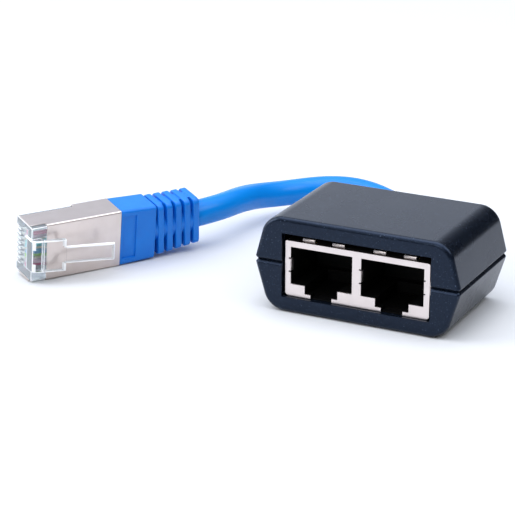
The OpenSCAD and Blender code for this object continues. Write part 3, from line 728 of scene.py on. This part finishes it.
# %% Material tools
def hex_colour(text, alpha=1.0):
    """An sRGB hex value as linear red, green, blue and alpha."""
    parts = [int(text[i:i + 2], 16) / 255 for i in (1, 3, 5)]
    return (*[c / 12.92 if c <= 0.04045 else ((c + 0.055) / 1.055) ** 2.4 for c in parts], alpha)


def add_node(tree, kind, links=None, **settings):
    """Adds a node, sets its options, and sets or links its inputs by name or number."""
    node = tree.nodes.new(kind)
    for name, value in settings.items():
        setattr(node, name, value)
    for name, value in (links or {}).items():
        if isinstance(value, bpy.types.NodeSocket):
            tree.links.new(value, node.inputs[name])
        else:
            node.inputs[name].default_value = value
    return node


def new_material(name, **sockets):
    """A material with a Principled shader whose own sockets hold its constant values."""
    material = bpy.data.materials.new(name)
    material.use_nodes = True
    shader = material.node_tree.nodes["Principled BSDF"]
    for socket, value in sockets.items():
        shader.inputs[socket.replace("_", " ")].default_value = value
    return material, material.node_tree, shader


def per_mm(size):
    """Texture scale at which a pattern's features are about that many millimetres."""
    return 1000 / size


def noise(tree, place, size, detail, **more):
    """The value of a noise texture with features of about that many millimetres."""
    values = {"Vector": place, "Scale": per_mm(size), "Detail": detail, **more}
    return add_node(tree, "ShaderNodeTexNoise", values).outputs["Fac"]


def between(tree, value, low, high):
    """A value from 0 to 1, mapped to lie between low and high."""
    values = {"Value": value, "To Min": low, "To Max": high}
    return add_node(tree, "ShaderNodeMapRange", values).outputs["Result"]


def mixed(tree, factor, first, second):
    """A blend of two colours."""
    blend = add_node(tree, "ShaderNodeMix", {"Factor": factor, "A": first, "B": second}, data_type="RGBA")
    return blend.outputs[2]


def relief(tree, height, strength, depth, **more):
    """A bump with a depth in millimetres."""
    values = {"Height": height, "Strength": strength, "Distance": mm(depth), **more}
    return add_node(tree, "ShaderNodeBump", values).outputs["Normal"]


def connect(tree, shader, **sockets):
    """Links values to the shader's sockets."""
    for socket, value in sockets.items():
        tree.links.new(value, shader.inputs[socket.replace("_", " ")])


def dress(material, *objects):
    """Gives a material to a new piece or to a node of the frame."""
    for item in objects:
        item.data.materials.clear()
        item.data.materials.append(material)


# %% [markdown]
# ### Spark-eroded ABS
# The housing is moulded ABS in a slate black. The mould's surface was eroded by sparks, which
# gives a fine pebble with a soft sheen. Such a grain is about 0.1 mm, which the picture can't
# show, so it is drawn at 0.3 mm. A second, sparse noise adds pale specks, where single grains
# catch the light.

# %% Housing plastic
abs_black, tree, shader = new_material("spark_eroded_abs", IOR=1.48, Metallic=0.0,
                                       Specular_Tint=hex_colour("#b0caf8"))
place = add_node(tree, "ShaderNodeTexCoord").outputs["Object"]
grain = noise(tree, place, 0.3, 3.0, Roughness=0.6)
cloud = noise(tree, place, 9, 2.0)
dots = noise(tree, place, 0.22, 1.0)
tone = add_node(tree, "ShaderNodeValToRGB", {"Fac": grain})
for stop, position, colour in zip(tone.color_ramp.elements, (0.38, 0.72), ("#03050a", "#0c1420")):
    stop.position = position
    stop.color = hex_colour(colour)
sparse = add_node(tree, "ShaderNodeMapRange", {"Value": dots, "From Min": 0.68, "From Max": 0.78})
speck = mixed(tree, sparse.outputs["Result"], tone.outputs["Color"], hex_colour("#505c6e"))
connect(tree, shader, Base_Color=speck, Roughness=between(tree, cloud, 0.22, 0.32),
        Normal=relief(tree, grain, 0.3, 0.03))
dress(abs_black, upper, lower)
print("housing finish:", abs_black.name)

# %% [markdown]
# ### Plated sheet metal
# Both shields are thin cold-rolled steel, the jack's tinned and the plug's nickel plated. Rolling
# leaves faint streaks along the strip, and plating makes them soft. One function makes both,
# with the direction of the streaks and the tint as its values. The metals keep Blender's
# standard index of refraction.

# %% Shield metals
def plated_sheet(name, light, shade, streaks, turn, rough):
    """Plated steel: soft streaks of the given sizes in mm, turned to lie along the strip."""
    material, tree, shader = new_material(name, Metallic=1.0)
    place = add_node(tree, "ShaderNodeTexCoord").outputs["Object"]
    turned = add_node(tree, "ShaderNodeMapping", {"Vector": place,
                                                  "Rotation": [math.radians(a) for a in turn],
                                                  "Scale": [per_mm(s) for s in streaks]})
    rolled = add_node(tree, "ShaderNodeTexNoise", {"Vector": turned.outputs["Vector"], "Scale": 1.0,
                                                   "Detail": 4.0}).outputs["Fac"]
    blotch = noise(tree, place, 2.5, 3.0)
    connect(tree, shader, Base_Color=mixed(tree, blotch, hex_colour(shade), hex_colour(light)),
            Roughness=between(tree, rolled, *rough), Normal=relief(tree, rolled, 0.12, 0.02))
    return material


tinned = plated_sheet("tinned_steel_sheet", "#e9dfdc", "#d8cecb", (6, 6, 0.15), (0, 0, 0), (0.24, 0.36))
nickel = plated_sheet("nickel_plated_sheet", "#e2d7d2", "#d4c8c2", (6, 0.2, 0.2), (0, 0, -237), (0.26, 0.36))
dress(tinned, shield)
dress(nickel, plug_sheet)
print("sheet finishes:", tinned.name, nickel.name)

# %% [markdown]
# ### Clear polycarbonate
# The plug's body lets light through. It isn't perfectly clear: a little of the light is
# scattered inside, which keeps it pale against the metal. It has three finishes, one for the
# body, one for the latch and an opaque white matt one, a painted highlight on the faces where
# light comes out. The real index of refraction is 1.585. The lower ones here were chosen against the
# photograph.

# %% Clear plastic
def clear_plastic(name, tint, transmission, rough, ior):
    """Polycarbonate that lets a share of the light through, with slight flow marks."""
    material, tree, shader = new_material(name, IOR=ior, Metallic=0.0, Transmission_Weight=transmission,
                                          Roughness=rough, Base_Color=hex_colour(tint))
    place = add_node(tree, "ShaderNodeTexCoord").outputs["Object"]
    connect(tree, shader, Normal=relief(tree, noise(tree, place, 3, 1.0), 0.1, 0.1))
    return material


body.data.materials[0] = clear_plastic("clear_polycarbonate", "#f4fcff", 0.81, 0.02, 1.34)
# An opaque white matt finish: the painted highlight where light leaves the clear plastic's edges.
body.data.materials[1] = clear_plastic("painted_glow_polycarbonate_edge", "#ffffff", 0.0, 0.3, 1.5)
body.data.materials[2] = clear_plastic("clear_polycarbonate_latch", "#ffffff", 1.0, 0.0, 1.2)
print("clear finishes:", [m.name for m in body.data.materials])

# %% [markdown]
# ### Blue plastics
# The cable's jacket is smooth extruded PVC: glossy, with a slight waviness where the twisted
# wires press on it from inside. The boot is a softer moulding in the same blue with a satin
# surface.

# %% Jacket and boot
def blue_plastic(name, light, shade, wave, depth, rough, level):
    """Blue PVC with a soft waviness of the given size in millimetres."""
    material, tree, shader = new_material(name, IOR=1.53, Metallic=0.0, Specular_IOR_Level=level)
    place = add_node(tree, "ShaderNodeTexCoord").outputs["Object"]
    soft = noise(tree, place, wave, 2.0)
    fine = noise(tree, place, 0.35, 2.0)
    swell = relief(tree, soft, 0.5, depth)
    connect(tree, shader, Base_Color=mixed(tree, soft, hex_colour(shade), hex_colour(light)),
            Roughness=between(tree, fine, *rough), Normal=relief(tree, fine, 0.05, 0.02, Normal=swell))
    return material


jacket = blue_plastic("extruded_blue_pvc", "#0886dc", "#047ad2", 5, 0.1, (0.24, 0.28), 0.22)
moulded = blue_plastic("moulded_blue_pvc", "#047ee0", "#0070d4", 3, 0.03, (0.38, 0.46), 0.36)
cable_jacket.data.materials.append(jacket)
dress(moulded, boot)
print("blue finishes:", jacket.name, moulded.name)

# %% [markdown]
# ### Small parts
# The rest is seen through the openings, through the clear nose or from behind: black moulded
# plastic in the jacks, gold-plated contacts, the rubber grommet, the green board, the screws,
# the tie and eight wires. One function makes a plain plastic with its own grain.

# %% Small finishes
def moulded_plastic(name, colour, other, grain_size, rough, ior=1.5, level=0.5):
    """Plain moulded plastic, rubber or lacquer with a fine grain."""
    material, tree, shader = new_material(name, IOR=ior, Metallic=0.0, Specular_IOR_Level=level)
    place = add_node(tree, "ShaderNodeTexCoord").outputs["Object"]
    grain = noise(tree, place, grain_size, 2.0)
    connect(tree, shader, Base_Color=mixed(tree, grain, hex_colour(colour), hex_colour(other)),
            Roughness=between(tree, grain, *rough), Normal=relief(tree, grain, 0.2, 0.02))
    return material


def polished_metal(name, colour, other, rough):
    """Plated or turned metal with fine uneven gloss."""
    material, tree, shader = new_material(name, Metallic=1.0)
    place = add_node(tree, "ShaderNodeTexCoord").outputs["Object"]
    grain = noise(tree, place, 0.4, 3.0)
    connect(tree, shader, Base_Color=mixed(tree, grain, hex_colour(colour), hex_colour(other)),
            Roughness=between(tree, grain, *rough))
    return material


black_pbt = moulded_plastic("black_pbt", "#030303", "#070707", 0.3, (0.5, 0.6), 1.55, 0.12)
dress(black_pbt, nodes["jack_housing"], nodes["left_contact_block"], nodes["right_contact_block"])
dress(moulded_plastic("grommet_rubber", "#15171b", "#1e2126", 0.4, (0.55, 0.7), 1.52), nodes["cable_grommet"])
dress(moulded_plastic("solder_mask", "#0f4f2c", "#155c34", 0.5, (0.3, 0.4), 1.5), nodes["circuit_board"])
dress(moulded_plastic("natural_nylon", "#d9d8cf", "#e6e5dd", 0.4, (0.4, 0.5), 1.53), nodes["cable_tie"])
dress(polished_metal("zinc_plated_steel", "#a9adb0", "#8b9095", (0.28, 0.4)), nodes["shell_screws"])
gold = polished_metal("gold_plating", "#e3b75a", "#c99a3c", (0.2, 0.32))
pale_gold = polished_metal("flash_gold_plating", "#f6ead0", "#e8d8b4", (0.25, 0.35))
WIRES = ["#ff6fa5", "#ffd3e2", "#b4ff5a", "#62b4e0", "#a8ffff", "#5cf4ec", "#ffc8dc", "#ff5a96"]
for k, colour in enumerate(WIRES, 1):
    dress(gold, nodes[f"left_contact_{k}"], nodes[f"right_contact_{k}"])
    dress(pale_gold, nodes[f"plug_contact_{k}"])
    wire = moulded_plastic(f"wire_insulation_{k}", colour, colour, 0.5, (0.35, 0.45), 1.5)
    dress(wire, nodes[f"plug_wire_{k}"], nodes[f"board_wire_{k}"])
print("materials:", len(bpy.data.materials))

# %% [markdown]
# ## Floor and light
# A small product is photographed in a tent of white cloth. The floor is a wide sheet of pale
# grey paper, which strong light from above turns nearly white while the undersides stay deep.
# The world is the tent: dark apart from three soft lobes of light, which the metal and the
# gloss mirror. Four soft boxes give direction, from above, from the left, from the front and,
# weakest, from the right.

# %% Studio
bpy.ops.object.select_all(action="DESELECT")
bpy.ops.mesh.primitive_plane_add(size=4, location=mm(0, 0, -0.02))
floor = bpy.context.object
floor.name = "paper_floor"
paper = new_material("white_paper", Metallic=0.0, Roughness=0.9, Base_Color=hex_colour("#d8d8d8"))[0]
dress(paper, floor)

world = bpy.data.worlds.new("tent")
bpy.context.scene.world = world
bpy.context.scene.view_settings.view_transform = "Standard"
world.use_nodes = True
tree = world.node_tree
way = add_node(tree, "ShaderNodeTexCoord")


def glow(toward, start, strength):
    """Brightness of the tent round one direction, fading out to nothing at the given cosine."""
    lean = add_node(tree, "ShaderNodeVectorMath", {0: way.outputs["Generated"], 1: toward},
                    operation="DOT_PRODUCT")
    values = {"Value": lean.outputs["Value"], "From Min": start, "From Max": 1.0, "To Min": 0.0,
              "To Max": strength}
    return add_node(tree, "ShaderNodeMapRange", values, interpolation_type="SMOOTHSTEP").outputs["Result"]


BEHIND_LEFT, ABOVE, LEFT = (-0.55, 0.83, 0.1), (0, 0, 1), (-0.98, -0.1, 0.15)
walls = 0.05
for lobe in (glow(BEHIND_LEFT, 0.75, 1.12), glow(ABOVE, 0.5, 2.3), glow(LEFT, 0.5, 1.3)):
    walls = add_node(tree, "ShaderNodeMath", {0: lobe, 1: walls}, operation="ADD").outputs["Value"]
tree.nodes["Background"].inputs["Color"].default_value = hex_colour("#e8f0ff")
tree.links.new(walls, tree.nodes["Background"].inputs["Strength"])


def soft_box(name, place, aim, size, power):
    """A square area light that looks at a point."""
    bpy.ops.object.select_all(action="DESELECT")
    bpy.ops.object.light_add(type="AREA", location=mm(*place))
    lamp = bpy.context.object
    lamp.name = name
    lamp.data.size = mm(size)
    lamp.data.energy = power
    lamp.rotation_euler = (Vector(place) - Vector(aim)).to_track_quat("Z", "Y").to_euler()


soft_box("top_box", (-80, -20, 560), (-20, 0, 8), 460, 1.05)
soft_box("left_box", (-460, -200, 260), (-50, 0, 8), 300, 1.1)
soft_box("front_box", (-40, -520, 320), (-20, 0, 8), 300, 0.75)
soft_box("right_box", (380, 60, 420), (-20, 0, 8), 300, 0.65)
